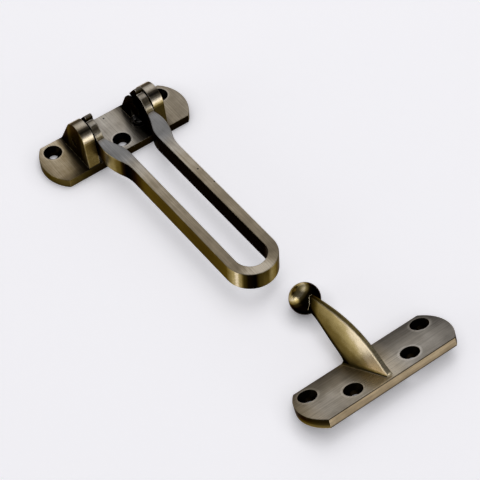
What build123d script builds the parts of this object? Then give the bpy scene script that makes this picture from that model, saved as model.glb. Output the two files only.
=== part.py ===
from build123d import *
import os
from math import acos, asin, atan2, cos, degrees, hypot, radians, sin, sqrt

# Swing bar door guard laid out on a table: a hinge plate with a U-shaped bar, and a keeper with a ball hook.
# Millimetres. X runs along the hinge plate, the bar reaches towards -Y and Z points up from the table.
# The origin is the middle of the hinge plate's back face.

# Both plates are cast to one outline: straight long edges and bowed ends.
plate_length = 80.0
plate_width = 26.4
plate_thickness = 4.6
end_bow = 5.7
plate_edge_round = 0.35

# Countersunk screw holes, by the distance of their centres from the plate's ends and long edges.
screw_hole_diameter = 4.6
countersink_diameter = 9.1
outer_hole_from_end = 9.1
outer_hole_from_back = 6.1
centre_hole_from_front = 6.9
keeper_inner_hole_x = 15.5
keeper_inner_hole_from_front = 7.7

# Pivot axis, parallel to X, and its height above the plate's top face.
pivot_y = -1.0
pivot_rise = 8.2

# Ears of the hinge plate: a wide foot that narrows to a round top.
ear_inner_x = 16.9
ear_thickness = 5.9
ear_front_margin = 0.4
ear_back_margin = 0.6
ear_top_y = -3.1
ear_top_rise = 12.6
ear_top_radius = 7.9
ear_edge_round = 0.4

# Cast cheek inside each ear, behind the knuckle: round about the pivot and notched for the pin's head.
cheek_thickness = 0.9
cheek_top_radius = 7.9
cheek_notch_clearance = 0.25
cheek_gap = 0.25

# Pins, washers and running clearances.
pin_radius = 2.2
pin_head_radius = 3.8
pin_head_thickness = 0.8
pin_head_round = 0.35
pin_peen_rise = 0.35
running_clearance = 0.05
seat_clearance = 0.02
washer_radius = 5.8
washer_thickness = 0.6

# Swing bar. Its shoulders are listed from the knuckle: distance along the arm, then how far they stand out
# from the straight arm's outer or inner face. The two run lengths say where each face becomes straight.
knuckle_width = 3.8
knuckle_step = 0.2
knuckle_overlap = 0.5
bar_rise = 3.75
bar_depth = 10.1
slot_width = 15.6
arm_width = 5.1
loop_centre_reach = 110.2
shoulder_start = 11.4
outer_shoulder = ((7.6, 4.1), (17.2, 2.0))
inner_shoulder = ((5.2, 3.0), (10.2, 0.9))
outer_shoulder_run = 27.1
inner_shoulder_run = 22.6
outer_start_slope = 0.15
inner_start_slope = 0.35
bar_edge_round = 0.4

# Flat-sided rim of the knuckle, and the lug that stops the opened bar.
rim_apothem = 7.45
rim_first_flat = 100.0
rim_flat_step = 35.0
open_angle = 127.0
stop_gap = 0.05
lug_start = 3.7
lug_end = 11.0
lug_front_y = -3.45
lug_top_rise = 14.8
lug_round = 1.1

# Detent ball under each knuckle, the dished spring washer that lifts it, and the widened rim of their socket.
ball_from_knuckle_face = 1.2
detent_ball_radius = 3.0
ball_clearance = 0.1
socket_floor = 0.5
socket_rim_radius = 4.4
socket_rim_depth = 0.7
spring_bore_radius = 1.2
spring_play = 0.35
spring_thickness = 0.3

# Keeper: the hook's sections go from the plate to the ball, measured from the plate's front edge and top face.
# Each row is spine distance, spine height, underside distance, underside height, half the spine's and the
# underside's width.
foot_height = 1.2
foot_front = 1.8
foot_back = 26.0
foot_front_half = 1.7
foot_back_half = 8.8
foot_sink = 0.5
foot_steps = 4
hook_sections = (
    (2.2, foot_height, 26.2, foot_height, 1.0, 6.9),
    (7.2, 6.1, 27.5, 2.6, 1.0, 6.6),
    (15.2, 12.9, 30.6, 4.6, 1.0, 6.2),
    (25.6, 17.7, 35.7, 7.4, 1.0, 5.5),
    (37.4, 20.1, 43.0, 11.8, 1.0, 4.4),
    (47.7, 20.7, 49.1, 14.2, 0.9, 3.6),
    (52.7, 20.5, 53.4, 14.8, 0.8, 3.2),
)
hook_ball_radius = 7.3
hook_ball_from_front = 58.4
hook_ball_rise = 16.3

# Where the keeper lies on the table: sideways, and how far its middle is from the loop's end.
keeper_x = 8.5
keeper_apart = 65.3

# How far a cutting tool runs past the face that it goes through.
overcut = 1.0

# Worked out from the sizes above.
half_length = plate_length / 2
half_width = plate_width / 2
corner_x = half_length - end_bow
outer_hole_x = half_length - outer_hole_from_end
outer_hole_y = half_width - outer_hole_from_back
pivot_height = plate_thickness + pivot_rise
ear_outer_x = ear_inner_x + ear_thickness
ear_front_y = ear_front_margin - half_width
ear_back_y = half_width - ear_back_margin
ear_top_height = plate_thickness + ear_top_rise
knuckle_outer_x = ear_inner_x - washer_thickness - 2 * running_clearance
knuckle_inner_x = knuckle_outer_x - knuckle_width
knuckle_front_y = -shoulder_start - knuckle_overlap
bar_bottom = plate_thickness + bar_rise
bar_top = bar_bottom + bar_depth
hub_radius = pivot_height - bar_bottom
slot_half = slot_width / 2
bar_half = slot_half + arm_width
lug_top_height = pivot_height + lug_top_rise
socket_radius = detent_ball_radius + running_clearance
spring_outer_radius = socket_radius - spring_play
ball_x = knuckle_inner_x + ball_from_knuckle_face
detent_ball_height = bar_bottom - ball_clearance - detent_ball_radius
hook_ball_y = hook_ball_from_front - half_width
hook_ball_height = plate_thickness + hook_ball_rise
keeper_y = -loop_centre_reach - bar_half - keeper_apart


def plate_blank():
    """The outline shared by both plates, as a solid standing on Z = 0."""
    front = Line((-corner_x, -half_width), (corner_x, -half_width))
    right = ThreePointArc((corner_x, -half_width), (half_length, 0), (corner_x, half_width))
    back = Line((corner_x, half_width), (-corner_x, half_width))
    left = ThreePointArc((-corner_x, half_width), (-half_length, 0), (-corner_x, -half_width))
    blank = extrude(make_face([front, right, back, left]), plate_thickness)
    top_edges = blank.faces().sort_by(Axis.Z)[-1].edges()
    return fillet(top_edges, plate_edge_round)


def screw_hole(x, y):
    """A through hole with a right-angled countersink at the plate's top."""
    radius = screw_hole_diameter / 2
    sink_radius = countersink_diameter / 2
    sink_depth = sink_radius - radius
    shaft = Pos(x, y, plate_thickness / 2) * Cylinder(radius, plate_thickness + 2 * overcut)
    sink = Pos(x, y, plate_thickness - sink_depth / 2) * Cone(radius, sink_radius, sink_depth)
    return shaft + sink


def tangent_point(start, centre, radius, side):
    """Where the line from start touches the circle; side +1 or -1 picks which one."""
    dy, dz = start[0] - centre[0], start[1] - centre[1]
    angle = atan2(dz, dy) + side * acos(radius / hypot(dy, dz))
    return centre[0] + radius * cos(angle), centre[1] + radius * sin(angle)


def from_pivot(radius, angle):
    """A point in the YZ plane by its distance and angle in degrees from the pivot axis."""
    turn = radians(angle)
    return pivot_y + radius * cos(turn), pivot_height + radius * sin(turn)


def slab(face, x_start, thickness):
    """A YZ profile as a slab from x_start towards +X."""
    return Pos(x_start, 0, 0) * extrude(Plane.YZ * face, thickness)


def x_cylinder(radius, x_start, length):
    """A cylinder along the pivot axis."""
    return Pos(x_start, pivot_y, pivot_height) * extrude(Plane.YZ * Circle(radius), length)


def pin_bore(radius, x_start, length):
    """A cutting cylinder along the pivot axis that runs past both faces of what it goes through."""
    return x_cylinder(radius, x_start - overcut, length + 2 * overcut)


def ear_profile(foot):
    """The ear's side view down to the height of its foot: straight flanks, tangent to the round top."""
    centre = (ear_top_y, ear_top_height)
    front = (ear_front_y, foot)
    back = (ear_back_y, foot)
    front_touch = tangent_point(front, centre, ear_top_radius, -1)
    back_touch = tangent_point(back, centre, ear_top_radius, 1)
    crown = (ear_top_y, ear_top_height + ear_top_radius)
    outline = [
        Line(front, back),
        Line(back, back_touch),
        ThreePointArc(back_touch, crown, front_touch),
        Line(front_touch, front),
    ]
    return make_face(outline)


def ear():
    """The right ear, sunk a little into the plate that it is cast with."""
    body = slab(ear_profile(plate_thickness), ear_inner_x, ear_thickness)
    outer_edges = body.faces().sort_by(Axis.X)[-1].edges()
    outer_edges = outer_edges.filter_by(lambda edge: edge.center().Z > plate_thickness + ear_edge_round)
    body = fillet(outer_edges, ear_edge_round)
    root = Pos(ear_inner_x, ear_front_y, plate_thickness / 2) * Box(
        ear_thickness, ear_back_y - ear_front_y, plate_thickness / 2, align=(Align.MIN, Align.MIN, Align.MIN)
    )
    return body + root - pin_bore(pin_radius + seat_clearance, ear_inner_x, ear_thickness)


def ball_socket(x):
    """The blind bore in the plate that guides a detent ball, with its widened rim."""
    upright = (Align.CENTER, Align.CENTER, Align.MIN)
    bore = Cylinder(socket_radius, plate_thickness - socket_floor, align=upright)
    rim = Cone(socket_radius, socket_rim_radius, socket_rim_depth, align=upright)
    return Pos(x, pivot_y, socket_floor) * bore + Pos(x, pivot_y, plate_thickness - socket_rim_depth) * rim


def cheek():
    """The cheek behind the right knuckle, clear of the pin's head and of the socket's rim."""
    foot = plate_thickness / 2
    back_foot = (ear_back_y, foot)
    back_touch = tangent_point(back_foot, (pivot_y, pivot_height), cheek_top_radius, 1)
    back_angle = degrees(atan2(back_touch[1] - pivot_height, back_touch[0] - pivot_y))
    crown = from_pivot(cheek_top_radius, 90)
    outline = [
        Line((pivot_y, foot), back_foot),
        Line(back_foot, back_touch),
        ThreePointArc(back_touch, from_pivot(cheek_top_radius, (back_angle + 90) / 2), crown),
        Line(crown, (pivot_y, foot)),
    ]
    notch = Pos(pivot_y, pivot_height) * Circle(pin_head_radius + cheek_notch_clearance)
    body = slab(make_face(outline) - notch, knuckle_inner_x - cheek_gap - cheek_thickness, cheek_thickness)
    return body - Pos(ball_x, pivot_y, pivot_height / 2) * Cylinder(socket_rim_radius, pivot_height)


def hinge_plate():
    """Plate, ears and cheeks, cast as one piece."""
    right = ear() + cheek()
    body = plate_blank() + right + mirror(right, Plane.YZ)
    for side in (-1, 1):
        body -= screw_hole(side * outer_hole_x, outer_hole_y)
        body -= ball_socket(side * ball_x)
    return body - screw_hole(0, centre_hole_from_front - half_width)


def rim_corner(step):
    """A corner between two flats of the knuckle's rim."""
    turn = radians(rim_first_flat + (step - 0.5) * rim_flat_step)
    radius = rim_apothem / cos(radians(rim_flat_step / 2))
    return ear_top_y + radius * cos(turn), ear_top_height + radius * sin(turn)


def lug_back(distance, normal):
    """A point of the lug's back face, which lies flat on the plate once the bar is fully open."""
    fall = pivot_rise - stop_gap
    return from_pivot(hypot(fall, distance), normal + degrees(atan2(distance, fall)))


def knuckle_profile():
    """Side view of a knuckle: round hub, flat-sided rim and the lug that stops the opened bar."""
    lug_normal = open_angle - 90
    notch_angle = lug_normal + degrees(asin(lug_start / hub_radius))
    notch = from_pivot(hub_radius, notch_angle)
    lug_tip = lug_back(lug_end, lug_normal)
    lug_top = (lug_front_y, lug_top_height)
    first, second, third = (rim_corner(step) for step in range(3))
    slope = (first[1] - second[1]) / (first[0] - second[0])
    lug_root = (lug_front_y, second[1] + slope * (lug_front_y - second[0]))
    hub_side = from_pivot(hub_radius, notch_angle / 2 - 45)
    outline = [
        ThreePointArc((pivot_y, bar_bottom), hub_side, notch),
        Polyline(
            notch,
            lug_back(lug_start, lug_normal),
            lug_tip,
            lug_top,
            lug_root,
            second,
            third,
            (knuckle_front_y, bar_top),
            (knuckle_front_y, bar_bottom),
            (pivot_y, bar_bottom),
        ),
    ]
    face = make_face(outline)
    lug_corners = [face.vertices().sort_by_distance((*corner, 0))[0] for corner in (lug_tip, lug_top)]
    return fillet(lug_corners, lug_round)


def shoulder(start_x, straight_x, stations, run, start_slope):
    """One flank of the arm, from the knuckle to where it is straight."""
    points = [(start_x, -shoulder_start)]
    points += [(straight_x + out, -shoulder_start - along) for along, out in stations]
    points.append((straight_x, -shoulder_start - run))
    return Spline(*points, tangents=((start_slope, -1), (0, -1)))


def arm_plan():
    """Plan of the whole U, with its shoulders widening to the knuckles."""
    outer_x = knuckle_outer_x
    inner_x = knuckle_inner_x + knuckle_step
    outer = shoulder(outer_x, bar_half, outer_shoulder, outer_shoulder_run, outer_start_slope)
    inner = shoulder(inner_x, slot_half, inner_shoulder, inner_shoulder_run, -inner_start_slope)
    loop_y = -loop_centre_reach
    right = [
        outer,
        inner,
        Line((outer_x, -shoulder_start), (inner_x, -shoulder_start)),
        Line((bar_half, -shoulder_start - outer_shoulder_run), (bar_half, loop_y)),
        Line((slot_half, -shoulder_start - inner_shoulder_run), (slot_half, loop_y)),
    ]
    left = [mirror(edge, Plane.YZ) for edge in right]
    loop = [ThreePointArc((x, loop_y), (0, loop_y - x), (-x, loop_y)) for x in (bar_half, slot_half)]
    return make_face(right + left + loop)


def swing_bar():
    """U-shaped bar with a knuckle at each end, cast as one piece."""
    bar = extrude(Pos(0, 0, bar_bottom) * arm_plan(), bar_depth)
    level_faces = bar.faces().sort_by(Axis.Z)
    long_edges = level_faces[-1].edges() + level_faces[0].edges()
    long_edges = long_edges.filter_by(lambda edge: edge.center().Y < knuckle_front_y)
    bar = fillet(long_edges, bar_edge_round)
    knuckle = slab(knuckle_profile(), knuckle_inner_x, knuckle_width)
    knuckle -= pin_bore(pin_radius + running_clearance, knuckle_inner_x, knuckle_width)
    return bar + knuckle + mirror(knuckle, Plane.YZ)


def pivot_pin():
    """Right pivot pin: its head lies inside the knuckle and its end is peened over the ear."""
    head_x = knuckle_inner_x - running_clearance - pin_head_thickness
    shank = x_cylinder(pin_radius, head_x, ear_outer_x - head_x)
    head = x_cylinder(pin_head_radius, head_x, pin_head_thickness)
    head = fillet(head.edges().group_by(Axis.X)[0], pin_head_round)
    dome_radius = (pin_radius**2 + pin_peen_rise**2) / (2 * pin_peen_rise)
    half_way = sqrt(dome_radius**2 - (pin_radius / 2) ** 2) - dome_radius + pin_peen_rise
    dome_face = make_face(
        [
            Line((ear_outer_x, 0), (ear_outer_x + pin_peen_rise, 0)),
            ThreePointArc(
                (ear_outer_x + pin_peen_rise, 0),
                (ear_outer_x + half_way, pin_radius / 2),
                (ear_outer_x, pin_radius),
            ),
            Line((ear_outer_x, pin_radius), (ear_outer_x, 0)),
        ]
    )
    dome = Pos(0, pivot_y, pivot_height) * revolve(dome_face, Axis.X)
    return head + shank + dome


def washer():
    """Thin washer between the right ear and its knuckle."""
    start = knuckle_outer_x + running_clearance
    ring = x_cylinder(washer_radius, start, washer_thickness)
    return ring - pin_bore(pin_radius + running_clearance, start, washer_thickness)


def detent_ball():
    """Right detent ball, just under its knuckle."""
    return Pos(ball_x, pivot_y, detent_ball_height) * Sphere(detent_ball_radius)


def detent_spring():
    """Dished washer: its rim stands on the socket's floor and its bore carries the ball."""
    drop = sqrt(detent_ball_radius**2 - spring_bore_radius**2)
    top = detent_ball_height - drop
    section = make_face(
        Polyline(
            (spring_outer_radius, socket_floor),
            (spring_outer_radius, socket_floor + spring_thickness),
            (spring_bore_radius, top),
            (spring_bore_radius, top - spring_thickness),
            close=True,
        )
    )
    return Pos(ball_x, pivot_y, 0) * revolve(Plane.XZ * section, Axis.Z)


def four_sided(front_half, front, back_half, back):
    """A level or slanted face by its front and back edges; front and back are (y, z)."""
    corners = ((-front_half, *front), (front_half, *front), (back_half, *back), (-back_half, *back))
    return Face(Wire.make_polygon([Vector(*corner) for corner in corners], close=True))


def hook_face(row):
    """One section of the hook, from its narrow spine to its wide underside."""
    spine_y, spine_z, under_y, under_z, spine_half, under_half = row
    spine = (spine_y - half_width, spine_z + plate_thickness)
    under = (under_y - half_width, under_z + plate_thickness)
    return four_sided(spine_half, spine, under_half, under)


def foot_face(flare, height):
    """One level section of the hook's flared foot: flare 1 at the plate and 0 where the hook's sides begin."""
    spine_y, _, under_y, _, spine_half, under_half = hook_sections[0]
    front_y = spine_y + flare * (foot_front - spine_y)
    back_y = under_y + flare * (foot_back - under_y)
    front_half = spine_half + flare * (foot_front_half - spine_half)
    back_half = under_half + flare * (foot_back_half - under_half)
    z = plate_thickness + height
    return four_sided(front_half, (front_y - half_width, z), back_half, (back_y - half_width, z))


def foot():
    """The concave flare where the hook grows out of its plate."""
    sections = [foot_face(1, -foot_sink)]
    for step in range(foot_steps + 1):
        turn = radians(90 * step / foot_steps)
        sections.append(foot_face(1 - sin(turn), foot_height * (1 - cos(turn))))
    return loft(sections, ruled=True)


def keeper_in_own_frame():
    """Keeper standing on Z = 0: plate, hook and ball, cast as one piece."""
    hook = loft([hook_face(row) for row in hook_sections])
    ball = Pos(0, hook_ball_y, hook_ball_height) * Sphere(hook_ball_radius)
    body = plate_blank() + foot() + hook + ball
    for side in (-1, 1):
        body -= screw_hole(side * outer_hole_x, outer_hole_y)
        body -= screw_hole(side * keeper_inner_hole_x, keeper_inner_hole_from_front - half_width)
    return body


def keeper_tilt():
    """How far the keeper leans back when its back edge and its ball both touch the table."""
    reach = hook_ball_y - half_width
    distance = hypot(reach, hook_ball_height)
    return degrees(atan2(hook_ball_height, reach) - asin(hook_ball_radius / distance))


def keeper():
    """Keeper lying as in the photograph, tipped back on its ball."""
    tilt = keeper_tilt()
    lift = half_width * sin(radians(tilt))
    return Pos(keeper_x, keeper_y, lift) * Rot(-tilt, 0, 0) * keeper_in_own_frame()


right_parts = {
    "pivot_pin": pivot_pin(),
    "friction_washer": washer(),
    "detent_ball": detent_ball(),
    "detent_spring": detent_spring(),
}
nodes = {"hinge_plate": hinge_plate(), "swing_bar": swing_bar(), "keeper": keeper()}
for name, shape in right_parts.items():
    nodes[name + "_right"] = shape
    nodes[name + "_left"] = mirror(shape, Plane.YZ)

os.makedirs("parts", exist_ok=True)
for name, shape in nodes.items():
    shape.label = name
    export_step(shape, f"parts/{name}.step")
print("keeper leans back by", round(keeper_tilt(), 2), "degrees, middle at y", round(keeper_y, 2))
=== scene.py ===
import math
import bpy
from mathutils import Matrix, Vector

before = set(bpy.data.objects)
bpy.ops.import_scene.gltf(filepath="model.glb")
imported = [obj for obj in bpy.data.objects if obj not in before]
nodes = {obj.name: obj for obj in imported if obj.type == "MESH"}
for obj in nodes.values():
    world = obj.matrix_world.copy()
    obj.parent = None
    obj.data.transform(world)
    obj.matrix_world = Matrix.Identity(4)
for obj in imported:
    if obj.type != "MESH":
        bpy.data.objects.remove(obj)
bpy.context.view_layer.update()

print("frame loaded:", len(nodes), "pieces")


# Small helpers

def hexColour(text):
    # sRGB hex to the linear numbers that shaders take
    parts = [int(text[i:i + 2], 16) / 255 for i in (1, 3, 5)]
    return [c / 12.92 if c <= 0.04045 else ((c + 0.055) / 1.055) ** 2.4 for c in parts] + [1.0]


def addNode(tree, kind, inputs=None, **settings):
    # adds one shader node, sets its options, and fills each input with a value, a socket or a node
    made = tree.nodes.new("ShaderNode" + kind)
    for name, value in settings.items():
        setattr(made, name, value)
    for key, value in (inputs or {}).items():
        if isinstance(value, bpy.types.Node):
            value = value.outputs[0]
        if isinstance(value, bpy.types.NodeSocket):
            tree.links.new(value, made.inputs[key])
        else:
            made.inputs[key].default_value = value
    return made


def stopsAlong(tree, value, stops, ease="EASE"):
    # reads greys or hex colours along a value; stops are (place, grey or colour)
    first, last = stops[0][0], stops[-1][0]
    share = addNode(tree, "MapRange", {"Value": value, "From Min": first, "From Max": last})
    ramp = addNode(tree, "ValToRGB", {"Fac": share})
    ramp.color_ramp.interpolation = ease
    points = ramp.color_ramp.elements
    points.remove(points[1])
    for i, (place, tone) in enumerate(stops):
        place = (place - first) / (last - first)
        point = points[0] if i == 0 else points.new(place)
        point.position = place
        point.color = hexColour(tone) if isinstance(tone, str) else (tone, tone, tone, 1)
    return ramp


def newMaterial(name):
    made = bpy.data.materials.new(name)
    made.use_nodes = True
    made.node_tree.nodes.clear()
    return made, made.node_tree


def dress(node, material):
    nodes[node].data.materials.clear()
    nodes[node].data.materials.append(material)


# Where a point of a piece lies and which way it faces

def ownAxes(tree, turned=None):
    # place in mm and facing, both in the piece's own axes, so that wear rides along when the bar swings
    coords = addNode(tree, "TexCoord")
    place, facing = coords.outputs["Object"], coords.outputs["Normal"]
    if turned:
        origin, rotation = turned["origin"], turned["rotation"]
        place = addNode(tree, "Mapping", {"Vector": place, "Location": origin, "Rotation": rotation},
                        vector_type="TEXTURE")
        facing = addNode(tree, "Mapping", {"Vector": facing, "Rotation": rotation},
                         vector_type="TEXTURE").outputs[0]
    place = addNode(tree, "VectorMath", {0: place, "Scale": 1000.0}, operation="SCALE").outputs[0]
    at = addNode(tree, "SeparateXYZ", {0: place}).outputs
    to = addNode(tree, "SeparateXYZ", {0: facing}).outputs
    return {"place": place, "facing": facing, "at": at, "to": to}


def facesSideways(tree, to, limits):
    # 1 on faces that look left or right along x
    sideX = addNode(tree, "Math", {0: to[0]}, operation="ABSOLUTE")
    return addNode(tree, "MapRange", {"Value": sideX, "From Min": limits[0], "From Max": limits[1]})


def turnOf(tree, across, along):
    # the angle between two measures, in degrees
    turn = addNode(tree, "Math", {0: across, 1: along}, operation="ARCTAN2")
    return addNode(tree, "Math", {0: turn}, operation="DEGREES")


def nearestOf(tree, at, points):
    # distance in plan to the nearest of the given points
    flat = addNode(tree, "CombineXYZ", {0: at[0], 1: at[1]})
    nearest = None
    for x, y in points:
        reach = addNode(tree, "VectorMath", {0: flat, 1: (x, y, 0.0)},
                        operation="DISTANCE").outputs["Value"]
        if nearest is None:
            nearest = reach
        else:
            nearest = addNode(tree, "Math", {0: nearest, 1: reach}, operation="MINIMUM")
    return nearest


# The finish: cast brass, blackened in a bath, then brushed on its open faces and lacquered.
# One number, bareAndLit, says how much blackening the brush took off: 0 is black, 1 is clean brass; in
# places the maps also paint highlights, reflections and shade into it.

brassFinish = {
    # flanks seen through the lacquer are golden, open faces are scratched to taupe
    "golden": [(0.0, "#060302"), (0.25, "#382e14"), (0.5, "#726134"), (0.75, "#b7a46e"), (1.0, "#fcebc6")],
    "taupe": [(0.0, "#060404"), (0.25, "#3f392e"), (0.5, "#7c7161"), (0.75, "#bdaf98"), (1.0, "#f6ead6")],
    # the dark lacquer swallows the sheen that bare metal has at a low angle
    "grazing": "#b0a89e",
    # roughness where black and where bare, and what the brush lines add
    "rough": (0.34, 0.23),
    "lineRough": 0.10,
    # brush lines are about 0.1 mm apart, too fine for the picture, so they are drawn 0.5 mm apart
    "lineGap": 0.5,
    "lineLength": 18.0,
    "lineDepth": 0.15,
    "cloudSize": 9.0,
    "cloudDepth": 0.11,
    "noiseRange": (0.3, 0.7),
    "streaksFrom": 0.15,  # lines and clouds only show where more than this is bare
    "scratchDepth": 0.00002,
    # edges: how far in they wear, and the cosine between rounded and true normal where wear is full
    "edgeWidth": 0.0004,
    "edgeTurn": 0.75,
    "edgeGain": 0.9,
    "edgeWear": 0.18,
}


def agedBrass(name, finish, brush, wearMap, turned=None, seed=0.0):
    # blackened and brushed brass: gives the eye soft streaks along axis brush, dark hollows, bright edges
    material, tree = newMaterial(name)
    axes = ownAxes(tree, turned)
    wear = wearMap(tree, axes)
    # brush lines and clouds
    scale = [1 / finish["lineGap"]] * 3
    scale[brush] = 1 / finish["lineLength"]
    drawn = addNode(tree, "VectorMath", {0: axes["place"], 1: scale, 2: (seed, seed, seed)},
                    operation="MULTIPLY_ADD")
    lines = addNode(tree, "TexNoise", {"Vector": drawn, "Scale": 1.0, "Detail": 4.0, "Roughness": 0.65})
    clouds = addNode(tree, "TexNoise", {"Vector": axes["place"], "Scale": 1 / finish["cloudSize"],
                                        "Detail": 4.0, "Roughness": 0.6})
    bareAndLit = wear["bareAndLit"]
    shown = addNode(tree, "Math", {0: bareAndLit, 1: finish["streaksFrom"]}, operation="SUBTRACT", use_clamp=True)
    low, high = finish["noiseRange"]
    for noise, depth in ((lines, finish["lineDepth"]), (clouds, finish["cloudDepth"])):
        shift = addNode(tree, "MapRange", {"Value": noise, "From Min": low, "From Max": high,
                                           "To Min": -depth, "To Max": depth}, clamp=False)
        bareAndLit = addNode(tree, "Math", {0: shift, 1: shown, 2: bareAndLit}, operation="MULTIPLY_ADD")
    # worn edges: the rounded normal only leaves the true one near an edge
    rounded = addNode(tree, "Bevel", {"Radius": wear.get("edgeWidth", finish["edgeWidth"])}, samples=6)
    true = addNode(tree, "NewGeometry").outputs["Normal"]
    likeness = addNode(tree, "VectorMath", {0: rounded, 1: true}, operation="DOT_PRODUCT").outputs["Value"]
    edge = addNode(tree, "MapRange", {"Value": likeness, "From Min": 1.0, "From Max": finish["edgeTurn"],
                                      "To Max": finish["edgeGain"]})
    if "edgeShare" in wear:
        edge = addNode(tree, "Math", {0: edge, 1: wear["edgeShare"]}, operation="MULTIPLY")
    rubbed = addNode(tree, "Math", {0: bareAndLit, 1: finish["edgeWear"]}, operation="ADD")
    # edge wear added to bareAndLit, so this also carries the maps' painted highlights and shade
    wornAndLit = addNode(tree, "Math", {0: edge, 1: rubbed, 2: bareAndLit}, operation="MULTIPLY_ADD", use_clamp=True)
    # colour, roughness and scratches
    golden = stopsAlong(tree, wornAndLit, finish["golden"], "LINEAR")
    taupe = stopsAlong(tree, wornAndLit, finish["taupe"], "LINEAR")
    colour = addNode(tree, "Mix", {0: wear["taupe"], 6: golden, 7: taupe}, data_type="RGBA").outputs[2]
    colour = addNode(tree, "HueSaturation", {"Color": colour, "Saturation": wear["vivid"]})
    whenBlack, whenBare = finish["rough"]
    rough = addNode(tree, "MapRange", {"Value": wornAndLit, "To Min": whenBlack, "To Max": whenBare})
    rough = addNode(tree, "Math", {0: lines, 1: finish["lineRough"], 2: rough}, operation="MULTIPLY_ADD")
    if "gloss" in wear:
        rough = addNode(tree, "Math", {0: rough, 1: wear["gloss"]}, operation="MULTIPLY")
    bump = addNode(tree, "Bump", {"Height": lines, "Normal": rounded, "Strength": 1.0,
                                  "Distance": finish["scratchDepth"]})
    brass = addNode(tree, "BsdfPrincipled", {"Base Color": colour, "Metallic": 1.0, "Roughness": rough,
                                             "Specular Tint": hexColour(finish["grazing"]), "Normal": bump})
    addNode(tree, "OutputMaterial", {"Surface": brass})
    return material


# Marks on the castings: a few black pits, and countersunk holes that are black inside a rubbed ring

plateMarks = {
    # the plates' thickness, how deep the rubbed lip of a hole goes, and the countersink's radius
    "top": 4.6,
    "lip": 0.12,
    "countersink": 4.6,
    "holeBare": 0.04,
    "pitRadius": 0.4,
    "pitSoftness": (1.3, 0.6),
    "pitBare": 0.05,
}


def darkPits(tree, at, bareAndLit, pits):
    outer, inner = (plateMarks["pitRadius"] * share for share in plateMarks["pitSoftness"])
    reach = nearestOf(tree, at, pits)
    pit = addNode(tree, "MapRange", {"Value": reach, "From Min": outer, "From Max": inner})
    return addNode(tree, "Mix", {0: pit, 2: bareAndLit, 3: plateMarks["pitBare"]})


def darkHoles(tree, at, bareAndLit, holes, holeRing):
    reach = nearestOf(tree, at, holes)
    bareAndLit = addNode(tree, "Math", {0: bareAndLit, 1: stopsAlong(tree, reach, holeRing)}, operation="MULTIPLY")
    inside = addNode(tree, "Math", {0: reach, 1: plateMarks["countersink"]}, operation="LESS_THAN")
    belowLip = addNode(tree, "Math", {0: at[2], 1: plateMarks["top"] - plateMarks["lip"]},
                       operation="LESS_THAN")
    dark = addNode(tree, "Math", {0: inside, 1: belowLip}, operation="MULTIPLY")
    return addNode(tree, "Mix", {0: dark, 2: bareAndLit, 3: plateMarks["holeBare"]})


# Hinge plate, with its ears, cheeks, ball sockets and countersunk holes

hingePlate = {
    "facesUp": (0.25, 0.8),
    "holes": ((-30.9, 7.1), (0.0, -6.3), (30.9, 7.1)),
    "holeRing": [(4.6, 1.22), (5.0, 1.15), (5.5, 1.0)],
    "pits": ((0.7, 10.7),),
    # the top face along x: worn at the ends and in the middle; dark beside the ears, a painted reflection
    # of their black faces and painted shade
    "topX": [(-40, 0.72), (-36, 0.81), (-31, 0.85), (-28.5, 0.80), (-26, 0.78), (-24, 0.44), (-22.8, 0.20),
             (-11, 0.80), (-8, 0.86), (0, 0.86), (6, 0.84), (10.5, 0.50), (12, 0.1),
             (23.5, 0.50), (26, 0.66), (30, 0.73), (40, 0.77)],
    # left of the left ear it is darker along its front edge
    "leftTo": -23.0,
    "leftY": [(-13.2, 0.62), (-11, 0.74), (-8, 0.92), (-4, 1.0), (4, 1.0), (9, 1.04), (13.2, 1.20)],
    "frontX": [(-36, 0.44), (-30, 0.34), (-25, 0.26), (-20, 0.12), (-12, 0.06), (8, 0.10), (14, 0.03),
               (40, 0.04)],
    "endTurn": (0.2, 0.7),
    "endBare": 0.34,
    # round the ears' rims, by the angle from up towards the front: wear with painted highlight bands and
    # painted shade between them; the right ear's front is darker, painted shade
    "earRim": [(-50, 0.92), (-38, 0.92), (-28, 0.33), (-16, 0.46), (-8, 0.90), (0, 0.96), (10, 0.92),
               (16, 0.80), (24, 0.46), (32, 0.28), (40, 0.62), (48, 0.96), (56, 1.0), (64, 1.0),
               (70, 1.0), (76, 0.66), (84, 0.49)],
    "rightRim": 0.50,
    "rightRimTurn": (60.0, 80.0),
    "faceTurn": (0.5, 0.8),
    # the faces along y: lighter towards the front, where the high end is a painted highlight at the front
    # edge
    "faceY": [(-13, 0.95), (-11.6, 0.80), (-10.4, 0.62), (-8.5, 0.50), (-6, 0.20), (0, 0.25), (3.5, 0.38),
              (6, 0.10), (13, 0.06)],
    "earsAbove": 4.9,
    "cheekTo": 12.3,
    "cheekBare": 0.01,
    # the sockets under the knuckles: their middles, the rim's radius and lowest height
    "sockets": ((-13.6, -1.0), (13.6, -1.0)),
    "socketRim": (4.5, 3.85),
    "socketBare": 0.85,
    "vividX": [(-40, 1.35), (-26, 1.5), (-23, 1.2), (-10, 0.65), (8, 0.75), (23, 1.0), (40, 0.95)],
}


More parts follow.
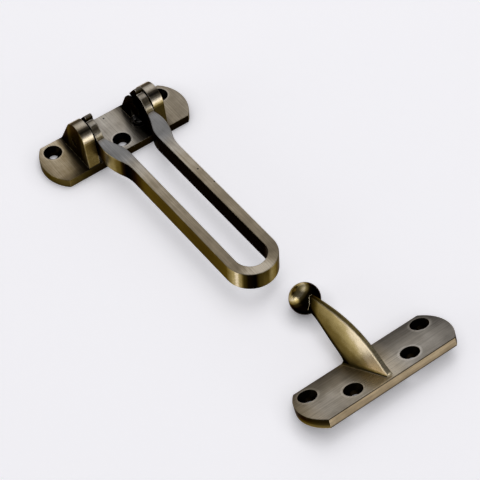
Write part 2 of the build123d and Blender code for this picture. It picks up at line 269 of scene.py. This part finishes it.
def hingePlateMap(tree, axes):
    size, at, to = hingePlate, axes["at"], axes["to"]
    start, end = size["facesUp"]
    openUp = addNode(tree, "MapRange", {"Value": to[2], "From Min": start, "From Max": end},
                     interpolation_type="SMOOTHSTEP")
    # top face
    atLeft = addNode(tree, "Math", {0: at[0], 1: size["leftTo"]}, operation="LESS_THAN")
    fade = addNode(tree, "Mix", {0: atLeft, 2: 1.0, 3: stopsAlong(tree, at[1], size["leftY"])})
    top = addNode(tree, "Math", {0: stopsAlong(tree, at[0], size["topX"]), 1: fade}, operation="MULTIPLY")
    # sides: black in front, olive at the ends
    atEnd = facesSideways(tree, to, size["endTurn"])
    side = addNode(tree, "Mix", {0: atEnd, 2: stopsAlong(tree, at[0], size["frontX"]), 3: size["endBare"]})
    onPlate = addNode(tree, "Mix", {0: openUp, 2: side, 3: darkPits(tree, at, top, size["pits"])})
    onPlate = darkHoles(tree, at, onPlate, size["holes"], size["holeRing"])
    # the ball sockets have a worn rim
    radius, lowest = size["socketRim"]
    reach = nearestOf(tree, at, size["sockets"])
    inRim = addNode(tree, "Math", {0: reach, 1: radius}, operation="LESS_THAN")
    rimHigh = addNode(tree, "Math", {0: at[2], 1: lowest}, operation="GREATER_THAN")
    rimTone = addNode(tree, "Math", {0: rimHigh, 1: size["socketBare"]}, operation="MULTIPLY")
    onPlate = addNode(tree, "Mix", {0: inRim, 2: onPlate, 3: rimTone})
    # ears: worn rims with painted highlights and shade, dark faces that are brown in front, with a painted
    # highlight at the front edge
    forward = addNode(tree, "Math", {0: to[1], 1: -1.0}, operation="MULTIPLY")
    turn = turnOf(tree, forward, to[2])
    start, end = size["rightRimTurn"]
    inFront = addNode(tree, "MapRange", {"Value": turn, "From Min": start, "From Max": end})
    atRight = addNode(tree, "Math", {0: at[0], 1: 0.0}, operation="GREATER_THAN")
    inFront = addNode(tree, "Math", {0: inFront, 1: atRight}, operation="MULTIPLY")
    share = addNode(tree, "MapRange", {"Value": inFront, "To Min": 1.0, "To Max": size["rightRim"]})
    rim = addNode(tree, "Math", {0: stopsAlong(tree, turn, size["earRim"]), 1: share}, operation="MULTIPLY")
    face = facesSideways(tree, to, size["faceTurn"])
    onEar = addNode(tree, "Mix", {0: face, 2: rim, 3: stopsAlong(tree, at[1], size["faceY"])})
    offX = addNode(tree, "Math", {0: at[0]}, operation="ABSOLUTE")
    onCheek = addNode(tree, "Math", {0: offX, 1: size["cheekTo"]}, operation="LESS_THAN")
    onEar = addNode(tree, "Mix", {0: onCheek, 2: onEar, 3: size["cheekBare"]})
    aboveEars = addNode(tree, "Math", {0: at[2], 1: size["earsAbove"]}, operation="GREATER_THAN")
    bareAndLit = addNode(tree, "Mix", {0: aboveEars, 2: onPlate, 3: onEar})
    vivid = addNode(tree, "Mix", {0: openUp, 2: 1.0, 3: stopsAlong(tree, at[0], size["vividX"])})
    return {"bareAndLit": bareAndLit, "taupe": openUp, "vivid": vivid}


# Swing bar: knuckles, shoulders, two arms and the loop's end

swingBar = {
    "facesUp": (0.45, 0.85),
    "facesDown": (-0.3, -0.7),
    "underBare": 0.2,
    "pits": ((10.9, -55.2), (12.4, -66.2)),
    # top face and outer flanks, along y from the loop to the knuckles
    "top": [(-110, 0.66), (-100, 0.70), (-80, 0.72), (-64, 0.77), (-56, 0.80), (-44, 0.86), (-38, 0.88),
            (-32, 0.80), (-25, 0.65), (-12, 0.69)],
    "flank": [(-110, 0.40), (-98, 0.34), (-60, 0.36), (-50, 0.40), (-46, 0.38), (-41, 0.26), (-37, 0.06),
              (-32, 0.0), (-30.5, 0.06), (-28, 0.42), (-24, 0.68), (-20, 0.84), (-16, 0.34), (-12, 0.08)],
    # round the loop, in degrees from its end: outer side, then top face; the bright and black bands round
    # it are painted highlights and painted shade as well as wear
    "loopCentre": -110.2,
    "round": [(-90, 0.50), (-80, 0.59), (-72, 0.74), (-64, 1.0), (-56, 0.64), (-48, 0.24), (-40, 0.03),
              (-26, 0.0), (-16, 0.28), (0, 0.45), (10, 0.64), (20, 0.58), (32, 0.42), (50, 0.31),
              (90, 0.33)],
    "roundTop": [(-90, 0.63), (-70, 0.64), (-55, 0.76), (-40, 0.90), (-15, 1.0), (5, 0.98), (22, 0.86),
                 (40, 0.70), (60, 0.60), (90, 0.64)],
    # the hollow side, by how far a face looks inward
    "hollowFrom": (-1.5, -4.0),
    "hollowBare": 0.0,
    # the knuckles' flat-sided rims, along y, with painted highlight bands, and their faces
    "knuckleFrom": -11.5,
    "knuckleAbove": (18.6, 18.8),
    "rim": [(-12.4, 0.52), (-11.2, 0.55), (-10.6, 0.95), (-9.8, 1.0), (-9.1, 0.62), (-8.2, 0.40),
            (-7.2, 0.55), (-6.5, 0.84), (-5.2, 0.80), (-3.8, 0.55)],
    "rimAbove": (17.9, 18.3),
    "faceTurn": (0.5, 0.8),
    "faceBare": 0.0,
    # the stop lugs are black under a crest that lightens where it faces up: wear and a painted highlight
    "lugFrom": -3.6,
    "lugCrest": (0.3, 0.9),
    "lugBare": (0.04, 0.5),
    "vivid": [(-90, 1.1), (-46, 1.1), (-36, 0.75), (-27, 0.12), (-14, 0.10), (-11, 0.8)],
    "edgeWidth": (0.0004, 0.0011),
}


def swingBarMap(tree, axes):
    size, at, to = swingBar, axes["at"], axes["to"]
    start, end = size["facesUp"]
    openUp = addNode(tree, "MapRange", {"Value": to[2], "From Min": start, "From Max": end},
                     interpolation_type="SMOOTHSTEP")
    # distance past the loop's centre, and the turn round it
    past = addNode(tree, "Math", {0: at[1], 1: size["loopCentre"]}, operation="SUBTRACT")
    ahead = addNode(tree, "Math", {0: past, 1: -1.0}, operation="MULTIPLY")
    turn = turnOf(tree, at[0], ahead)
    onLoop = addNode(tree, "Math", {0: past, 1: 0.0}, operation="LESS_THAN")
    side = addNode(tree, "Mix", {0: onLoop, 2: stopsAlong(tree, at[1], size["flank"]),
                                 3: stopsAlong(tree, turn, size["round"])})
    top = addNode(tree, "Mix", {0: onLoop, 2: stopsAlong(tree, at[1], size["top"]),
                                3: stopsAlong(tree, turn, size["roundTop"])})
    # hollow side: faces that look at the slot's middle line or the loop's centre
    beyond = addNode(tree, "Math", {0: past, 1: 0.0}, operation="MINIMUM")
    inward = addNode(tree, "Math", {0: to[1], 1: beyond}, operation="MULTIPLY")
    inward = addNode(tree, "Math", {0: to[0], 1: at[0], 2: inward}, operation="MULTIPLY_ADD")
    start, end = size["hollowFrom"]
    hollow = addNode(tree, "MapRange", {"Value": inward, "From Min": start, "From Max": end})
    side = addNode(tree, "Mix", {0: hollow, 2: side, 3: size["hollowBare"]})
    bareAndLit = addNode(tree, "Mix", {0: openUp, 2: side, 3: darkPits(tree, at, top, size["pits"])})
    start, end = size["facesDown"]
    down = addNode(tree, "MapRange", {"Value": to[2], "From Min": start, "From Max": end})
    bareAndLit = addNode(tree, "Mix", {0: down, 2: bareAndLit, 3: size["underBare"]})
    # knuckles: bare round their rims, with painted highlight bands, black on their faces and below
    start, end = size["lugCrest"]
    lugTone = addNode(tree, "MapRange", {"Value": to[2], "From Min": start, "From Max": end,
                                         "To Min": size["lugBare"][0], "To Max": size["lugBare"][1]})
    onLug = addNode(tree, "Math", {0: at[1], 1: size["lugFrom"]}, operation="GREATER_THAN")
    knuckle = addNode(tree, "Mix", {0: onLug, 2: stopsAlong(tree, at[1], size["rim"]), 3: lugTone})
    start, end = size["rimAbove"]
    onRim = addNode(tree, "MapRange", {"Value": at[2], "From Min": start, "From Max": end})
    knuckle = addNode(tree, "Math", {0: knuckle, 1: onRim}, operation="MULTIPLY")
    face = facesSideways(tree, to, size["faceTurn"])
    knuckle = addNode(tree, "Mix", {0: face, 2: knuckle, 3: size["faceBare"]})
    start, end = size["knuckleAbove"]
    above = addNode(tree, "MapRange", {"Value": at[2], "From Min": start, "From Max": end})
    atKnuckle = addNode(tree, "Math", {0: at[1], 1: size["knuckleFrom"]}, operation="GREATER_THAN")
    atKnuckle = addNode(tree, "Math", {0: atKnuckle, 1: above}, operation="MAXIMUM")
    bareAndLit = addNode(tree, "Mix", {0: atKnuckle, 2: bareAndLit, 3: knuckle})
    narrow, wide = size["edgeWidth"]
    width = addNode(tree, "MapRange", {"Value": above, "To Min": narrow, "To Max": wide})
    vivid = addNode(tree, "Mix", {0: openUp, 2: 1.0, 3: stopsAlong(tree, at[1], size["vivid"])})
    return {"bareAndLit": bareAndLit, "taupe": openUp, "vivid": vivid, "edgeWidth": width}


# Keeper: its plate leans on its back edge, so its axes are turned back to level here

keeper = {
    "turned": {"origin": (0.0085, -0.1884, 0.004974), "rotation": (math.radians(-22.1386), 0.0, 0.0)},
    "facesUp": (0.45, 0.85),
    "holes": ((-30.9, 7.1), (-15.5, -5.5), (15.5, -5.5), (30.9, 7.1)),
    "holeRing": [(4.6, 1.25), (5.1, 1.18), (5.9, 1.0)],
    # across and along the plate's top; the rise near x = -7 is a painted reflection of the hook's flank
    "topY": [(-13.2, 0.83), (-8, 0.87), (-3, 0.86), (0, 0.81), (4, 0.71), (8, 0.61), (13.2, 0.51)],
    "topX": [(-40, 0.94), (-30, 0.97), (-20, 1.02), (-14, 1.10), (-7, 1.30), (3, 1.12), (8, 1.02),
             (16, 0.90), (26, 0.88), (33, 0.80), (40, 0.70)],
    # up the front side, with a dark line under its top edge, and up the ends
    "frontZ": [(0.0, 0.14), (0.8, 0.58), (3.0, 0.64), (4.0, 0.64), (4.25, 0.20), (4.42, 0.14), (4.6, 0.50)],
    "endZ": [(0.0, 0.54), (1.0, 0.42), (2.0, 0.22), (3.2, 0.09), (4.6, 0.09)],
    "endTurn": (0.3, 0.7),
    "hookAbove": 4.65,
    # the hook's spine falls from its top towards the plate as a power curve
    "spineTop": 25.3,
    "spineFall": 19.5,
    "spineRun": 45.5,
    "spineEnd": 34.5,
    "spinePower": 2.72,
    "spineY": [(-11, 0.95), (-5, 1.0), (0, 0.78), (5, 0.56), (12, 0.51), (20, 0.47), (26, 0.46), (31, 0.36),
               (36, 0.20), (39, 0.08)],
    # the hook's flank, along y and by the depth under its spine, where a painted highlight runs along the
    # ridge
    "flankTurn": (0.3, 0.6),
    "flankY": [(-10, 1.0), (-4, 0.98), (3, 0.84), (8, 0.72), (14, 0.62), (20, 0.54), (26, 0.48), (31, 0.42),
               (35, 0.20), (38, 0.05)],
    "flankDepth": [(0.0, 1.46), (2.5, 1.28), (6.0, 1.06), (9.0, 0.86), (12.0, 0.66), (15.0, 0.44)],
    # its foot and underside are black below a line that is level, then rises: blackening and painted shade
    # where the hook meets the plate
    "footFrom": 9.0,
    "footRise": 0.58,
    "footZ": [(4.7, 0.0), (5.2, 0.5), (6.4, 1.0)],
    # the ball has a painted highlight on its upper left and painted shade in front and below
    "ball": (0.0, 45.2, 20.9),
    "ballReach": 7.45,
    "ballHighlightTo": (-0.45, 0.15, 0.88),
    "ballHighlightTones": [(0.30, 0.0), (0.50, 0.10), (0.64, 0.54), (0.78, 0.88), (1.0, 0.66)],
    "ballGloss": 0.60,
    # saturation along x; the rise near x = -6 is the painted reflection of the golden hook
    "vividX": [(-40, 1.2), (-30, 0.8), (-14, 1.0), (-6, 1.9), (4, 1.1), (14, 0.6), (40, 0.5)],
    "frontVivid": 1.35,
    "edgeWidth": (0.0004, 0.0016),
}


def keeperMap(tree, axes):
    size, at, to = keeper, axes["at"], axes["to"]
    start, end = size["facesUp"]
    openUp = addNode(tree, "MapRange", {"Value": to[2], "From Min": start, "From Max": end},
                     interpolation_type="SMOOTHSTEP")
    # the plate
    top = addNode(tree, "Math", {0: stopsAlong(tree, at[1], size["topY"]),
                                 1: stopsAlong(tree, at[0], size["topX"])}, operation="MULTIPLY")
    atEnd = facesSideways(tree, to, size["endTurn"])
    side = addNode(tree, "Mix", {0: atEnd, 2: stopsAlong(tree, at[2], size["frontZ"]),
                                 3: stopsAlong(tree, at[2], size["endZ"])})
    onPlate = addNode(tree, "Mix", {0: openUp, 2: side, 3: top})
    onPlate = darkHoles(tree, at, onPlate, size["holes"], size["holeRing"])
    # depth under the hook's spine
    run = addNode(tree, "Math", {0: size["spineEnd"], 1: at[1]}, operation="SUBTRACT")
    run = addNode(tree, "Math", {0: run, 1: 0.0}, operation="MAXIMUM")
    run = addNode(tree, "Math", {0: run, 1: size["spineRun"]}, operation="DIVIDE")
    fall = addNode(tree, "Math", {0: run, 1: size["spinePower"]}, operation="POWER")
    spine = addNode(tree, "Math", {0: fall, 1: -size["spineFall"], 2: size["spineTop"]},
                    operation="MULTIPLY_ADD")
    depth = addNode(tree, "Math", {0: spine, 1: at[2]}, operation="SUBTRACT")
    # height over the line below which foot and underside are black, blackening and painted shade
    past = addNode(tree, "Math", {0: at[1], 1: size["footFrom"]}, operation="SUBTRACT")
    past = addNode(tree, "Math", {0: past, 1: 0.0}, operation="MAXIMUM")
    overFoot = addNode(tree, "Math", {0: past, 1: -size["footRise"], 2: at[2]}, operation="MULTIPLY_ADD")
    footMask = stopsAlong(tree, overFoot, size["footZ"])
    # the hook: flank worn towards its spine, and painted brighter along the ridge as a highlight
    flank = addNode(tree, "Math", {0: stopsAlong(tree, at[1], size["flankY"]),
                                   1: stopsAlong(tree, depth, size["flankDepth"])}, operation="MULTIPLY")
    flank = addNode(tree, "Math", {0: flank, 1: footMask}, operation="MULTIPLY")
    onFlank = facesSideways(tree, to, size["flankTurn"])
    hook = addNode(tree, "Mix", {0: onFlank, 2: stopsAlong(tree, at[1], size["spineY"]), 3: flank})
    onHook = addNode(tree, "Math", {0: at[2], 1: size["hookAbove"]}, operation="GREATER_THAN")
    bareAndLit = addNode(tree, "Mix", {0: onHook, 2: onPlate, 3: hook})
    # the ball
    reach = addNode(tree, "VectorMath", {0: axes["place"], 1: size["ball"]},
                    operation="DISTANCE").outputs["Value"]
    ball = addNode(tree, "Math", {0: reach, 1: size["ballReach"]}, operation="LESS_THAN")
    # how far a face turns towards the painted highlight on the ball
    wornAndLit = addNode(tree, "VectorMath", {0: axes["facing"], 1: size["ballHighlightTo"]},
                   operation="DOT_PRODUCT").outputs["Value"]
    bareAndLit = addNode(tree, "Mix", {0: ball, 2: bareAndLit, 3: stopsAlong(tree, wornAndLit, size["ballHighlightTones"])})
    # the plate's top and front are taupe; its ends, the hook and the ball are golden
    inFront = addNode(tree, "Math", {0: 1.0, 1: atEnd}, operation="SUBTRACT")
    taupe = addNode(tree, "Math", {0: openUp, 1: inFront}, operation="MAXIMUM")
    offHook = addNode(tree, "Math", {0: 1.0, 1: onHook}, operation="SUBTRACT")
    taupe = addNode(tree, "Math", {0: taupe, 1: offHook}, operation="MULTIPLY")
    vivid = addNode(tree, "Mix", {0: openUp, 2: size["frontVivid"],
                                  3: stopsAlong(tree, at[0], size["vividX"])})
    vivid = addNode(tree, "Mix", {0: taupe, 2: 1.0, 3: vivid})
    gloss = addNode(tree, "MapRange", {"Value": ball, "To Min": 1.0, "To Max": size["ballGloss"]})
    # the hook's spine is rounded over, and its lower edges are out of the brush's reach
    narrow, wide = size["edgeWidth"]
    width = addNode(tree, "MapRange", {"Value": onHook, "To Min": narrow, "To Max": wide})
    edgeShare = addNode(tree, "Mix", {0: onHook, 2: 1.0, 3: footMask})
    return {"bareAndLit": bareAndLit, "taupe": taupe, "vivid": vivid, "gloss": gloss, "edgeWidth": width,
            "edgeShare": edgeShare}


# Pins and washers: turned brass left black. Balls: polished bearing steel, its tones darkened as painted
# shade in the sockets under the knuckles. Springs: drawn steel wire

smallParts = {
    "pinBare": [(0.35, 0.01), (0.6, 0.10)],
    "pinGrain": 0.35,
    "facesUp": (0.4, 0.9),
    # the bearing steel's tones are darkened: painted shade for the balls under the knuckles
    "steel": ("#2c2b2a", "#4f4d4a"),
    "steelRough": (0.10, 0.18),
    "wire": ("#4a4743", "#77736e"),
    "wireRough": (0.30, 0.42),
    "grain": 0.6,
    "scuffTone": (0.35, 0.65),
    "scuffRough": (0.3, 0.7),
    "scuffDepth": 0.00001,
}


def smallPartMap(tree, axes):
    # turned faces keep their blackening but for faint specks
    grain = addNode(tree, "TexNoise", {"Vector": axes["place"], "Scale": 1 / smallParts["pinGrain"],
                                       "Detail": 2.0})
    start, end = smallParts["facesUp"]
    taupe = addNode(tree, "MapRange", {"Value": axes["to"][2], "From Min": start, "From Max": end})
    return {"bareAndLit": stopsAlong(tree, grain, smallParts["pinBare"]), "taupe": taupe, "vivid": 1.0}


def steelMaterial(name, tones, roughs):
    # hard steel: gives a tight highlight with a faintly mottled, scuffed surface
    material, tree = newMaterial(name)
    place = ownAxes(tree)["place"]
    scuffs = addNode(tree, "TexNoise", {"Vector": place, "Scale": 1 / smallParts["grain"], "Detail": 4.0,
                                        "Roughness": 0.6})
    tone = stopsAlong(tree, scuffs, list(zip(smallParts["scuffTone"], tones)))
    start, end = smallParts["scuffRough"]
    rough = addNode(tree, "MapRange", {"Value": scuffs, "From Min": start, "From Max": end,
                                       "To Min": roughs[1], "To Max": roughs[0]})
    bump = addNode(tree, "Bump", {"Height": scuffs, "Strength": 0.5, "Distance": smallParts["scuffDepth"]})
    steel = addNode(tree, "BsdfPrincipled", {"Base Color": tone, "Metallic": 1.0, "Roughness": rough,
                                             "Normal": bump})
    addNode(tree, "OutputMaterial", {"Surface": steel})
    return material


# brush direction by axis, x is 0 and y is 1: across the hinge plate, along the bar, along the keeper
dress("hinge_plate", agedBrass("blackenedBrassBrushedAcross", brassFinish, 1, hingePlateMap))
dress("swing_bar", agedBrass("blackenedBrassBrushedLengthwise", brassFinish, 1, swingBarMap, seed=7.3))
dress("keeper", agedBrass("blackenedBrassBrushedAlongPlate", brassFinish, 0, keeperMap, keeper["turned"],
                          seed=3.1))
pinMaterial = agedBrass("blackenedBrassTurned", brassFinish, 0, smallPartMap, seed=1.7)
ballMaterial = steelMaterial("polishedBearingSteel", smallParts["steel"], smallParts["steelRough"])
wireMaterial = steelMaterial("drawnSpringSteel", smallParts["wire"], smallParts["wireRough"])
for side in ("left", "right"):
    dress("pivot_pin_" + side, pinMaterial)
    dress("friction_washer_" + side, pinMaterial)
    dress("detent_ball_" + side, ballMaterial)
    dress("detent_spring_" + side, wireMaterial)
print("finishes on all pieces")


# Table and studio

table = {
    "radius": 7.0,
    "sides": 96,
    "colour": "#f1f0f4",
    "rough": 0.55,
    "lift": 0.58,
    "contactShadowReach": 0.010,
}


def makeTable():
    mesh = bpy.data.meshes.new("table")
    turns = [2 * math.pi * i / table["sides"] for i in range(table["sides"])]
    ring = [(table["radius"] * math.cos(a), table["radius"] * math.sin(a), 0.0) for a in turns]
    mesh.from_pydata(ring, [], [list(range(table["sides"]))])
    made = bpy.data.objects.new("table", mesh)
    bpy.context.scene.collection.objects.link(made)
    material, tree = newMaterial("paleTableBoard")
    # the board's own light answers only the eye, mirrors and glass, and fades close under something as a
    # painted contact shadow
    path = addNode(tree, "LightPath").outputs
    seen = addNode(tree, "Math", {0: path["Is Camera Ray"], 1: path["Is Glossy Ray"]}, operation="MAXIMUM")
    seen = addNode(tree, "Math", {0: seen, 1: path["Is Transmission Ray"]}, operation="MAXIMUM")
    clear = addNode(tree, "AmbientOcclusion", {"Distance": table["contactShadowReach"]}, samples=8).outputs["AO"]
    lift = addNode(tree, "Math", {0: seen, 1: table["lift"]}, operation="MULTIPLY")
    lift = addNode(tree, "Math", {0: lift, 1: clear}, operation="MULTIPLY")
    colour = hexColour(table["colour"])
    matt = addNode(tree, "BsdfPrincipled", {"Base Color": colour, "Roughness": table["rough"],
                                            "Emission Color": colour, "Emission Strength": lift})
    addNode(tree, "OutputMaterial", {"Surface": matt})
    mesh.materials.append(material)


makeTable()

studio = {
    "tint": "#fdfdff",
    "dim": 0.08,
    # soft bright fields by the direction they lie in: middle, half sizes, softness, strength
    "fields": {
        "glowBehind": ((0.35, 0.47, 0.81), (0.42, 0.42, 0.42), 0.75, 0.53),
        "paleBack": ((0.36, 0.90, 0.15), (0.50, 0.30, 0.25), 0.50, 0.50),
        "windowLeft": ((-0.93, 0.16, 0.22), (0.35, 0.36, 0.28), 0.30, 1.60),
        "wallInFront": ((0.36, -0.93, 0.06), (0.90, 0.45, 0.31), 0.35, 1.50),
        "glowAtRightBack": ((0.72, 0.58, 0.36), (0.35, 0.35, 0.25), 0.60, 0.35),
    },
    # behind the table's far edge lies a pale horizon, brighter in front and on the left
    "horizon": (0.12, 0.02),
    "horizonTo": (-0.7, -0.7, 0.0),
    "horizonTurn": (-0.2, 0.4),
    "horizonTone": (0.20, 0.86),
    # what the eye itself sees of the room past the table
    "seenTone": 0.87,
}


def makeRoom():
    world = bpy.data.worlds.new("studioRoom")
    bpy.context.scene.world = world
    world.use_nodes = True
    tree = world.node_tree
    tree.nodes.clear()
    way = addNode(tree, "TexCoord").outputs["Generated"]
    # the horizon
    up = addNode(tree, "SeparateXYZ", {0: way}).outputs[2]
    start, end = studio["horizon"]
    horizon = addNode(tree, "MapRange", {"Value": up, "From Min": start, "From Max": end},
                      interpolation_type="SMOOTHSTEP")
    beside = addNode(tree, "VectorMath", {0: way, 1: studio["horizonTo"]},
                     operation="DOT_PRODUCT").outputs["Value"]
    start, end = studio["horizonTurn"]
    darker, brighter = studio["horizonTone"]
    tone = addNode(tree, "MapRange", {"Value": beside, "From Min": start, "From Max": end, "To Min": darker,
                                      "To Max": brighter}, interpolation_type="SMOOTHSTEP")
    light = addNode(tree, "Math", {0: horizon, 1: tone}, operation="MULTIPLY")
    light = addNode(tree, "Math", {0: light, 1: studio["dim"]}, operation="MAXIMUM")
    # the bright fields
    for middle, half, softness, strength in studio["fields"].values():
        off = addNode(tree, "VectorMath", {0: way, 1: middle}, operation="SUBTRACT")
        off = addNode(tree, "VectorMath", {0: off, 1: half}, operation="DIVIDE")
        reach = addNode(tree, "VectorMath", {0: off}, operation="LENGTH").outputs["Value"]
        outer, inner = 1 + softness, 1 - softness
        field = addNode(tree, "MapRange", {"Value": reach, "From Min": outer, "From Max": inner,
                                           "To Max": strength}, interpolation_type="SMOOTHSTEP")
        light = addNode(tree, "Math", {0: light, 1: field}, operation="MAXIMUM")
    seen = addNode(tree, "LightPath").outputs["Is Camera Ray"]
    light = addNode(tree, "Mix", {0: seen, 2: light, 3: studio["seenTone"]})
    room = addNode(tree, "Background", {"Color": hexColour(studio["tint"]), "Strength": light})
    addNode(tree, "OutputWorld", {"Surface": room})


makeRoom()

lamps = {
    # name: place, size, watts; metal doesn't mirror them
    "keySoftbox": ((0.42, 0.22, 1.05), 0.55, 1.4),
    "overheadFill": ((-0.05, 0.0, 1.40), 1.60, 3.5),
}
lampsAimAt = Vector((0.005, -0.09, 0.0))
for name, (place, size, watts) in lamps.items():
    lamp = bpy.data.lights.new(name, "AREA")
    lamp.shape, lamp.size, lamp.energy = "SQUARE", size, watts
    holder = bpy.data.objects.new(name, lamp)
    holder.location = Vector(place)
    holder.rotation_euler = (lampsAimAt - holder.location).to_track_quat("-Z", "Y").to_euler()
    holder.visible_glossy = False
    holder.visible_camera = False
    bpy.context.scene.collection.objects.link(holder)
print("table, room and lamps ready")


# Camera, at the photograph's own angle

eye = {
    "azimuth": -34.06,
    "elevation": 50.24,
    "roll": -3.19,
    "target": (0.00934, -0.0890, 0.0),
    "distance": 0.7977,
    "lens": 130.08,
    "sensor": 36.0,
    "clip": (0.05, 30.0),
}


def makeCamera():
    azimuth, elevation, roll = (math.radians(eye[k]) for k in ("azimuth", "elevation", "roll"))
    back = Vector((math.sin(azimuth) * math.cos(elevation), -math.cos(azimuth) * math.cos(elevation),
                   math.sin(elevation)))
    levelRight = (-back).cross(Vector((0, 0, 1))).normalized()
    levelUp = levelRight.cross(-back)
    right = levelRight * math.cos(roll) + levelUp * math.sin(roll)
    up = levelUp * math.cos(roll) - levelRight * math.sin(roll)
    camera = bpy.data.objects.new("camera", bpy.data.cameras.new("camera"))
    camera.data.sensor_width, camera.data.lens = eye["sensor"], eye["lens"]
    camera.data.clip_start, camera.data.clip_end = eye["clip"]
    turn = Matrix((right, up, back)).transposed().to_4x4()
    camera.matrix_world = Matrix.Translation(Vector(eye["target"]) + back * eye["distance"]) @ turn
    bpy.context.scene.collection.objects.link(camera)
    bpy.context.scene.camera = camera


makeCamera()
bpy.context.scene.view_settings.view_transform = "Standard"
print("camera ready")
